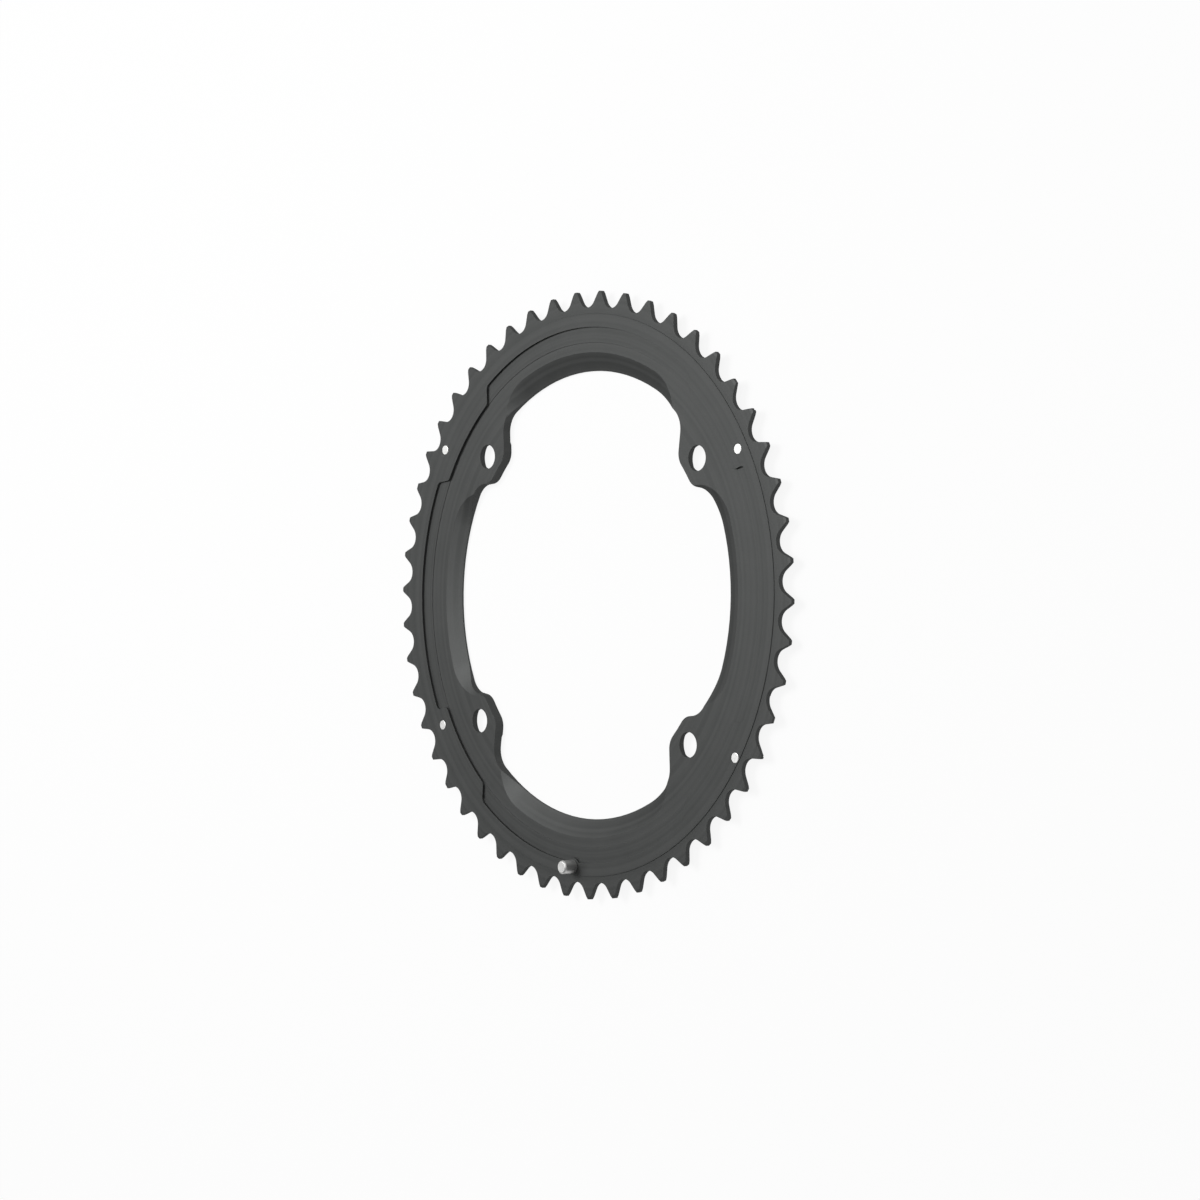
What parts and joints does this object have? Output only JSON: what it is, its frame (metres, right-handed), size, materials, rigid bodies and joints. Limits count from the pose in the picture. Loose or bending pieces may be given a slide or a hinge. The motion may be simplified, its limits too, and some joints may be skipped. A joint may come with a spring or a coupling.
{
  "type": "bicycle chainring",
  "caption": "Toothed aluminium ring with inward bolt tabs, a stepped outer face, steel shift pins and a chain-drop pin, which drives the chain of a road bicycle from its crank.",
  "frame": {"origin": "on the ring's axis, in the plane of the tabs' backs, which the ring lies on", "axes": "+Z along the ring's axis, out of the outer face that carries the chain-drop pin; +X along the wider bolt spacing; +Y away from the chain-drop pin"},
  "size_m": [0.2056, 0.2054, 0.0097],
  "materials": {
    "anodised_aluminium": "fine-blasted, dark grey matt anodised",
    "bright_steel": "turned, bare and bright"
  },
  "bodies": {
    "root": {"chainring": "anodised_aluminium", "chain_drop_pin": "bright_steel", "shift_pin_1": "bright_steel", "shift_pin_2": "bright_steel", "shift_pin_3": "bright_steel", "shift_pin_4": "bright_steel"}
  },
  "joints": []
}
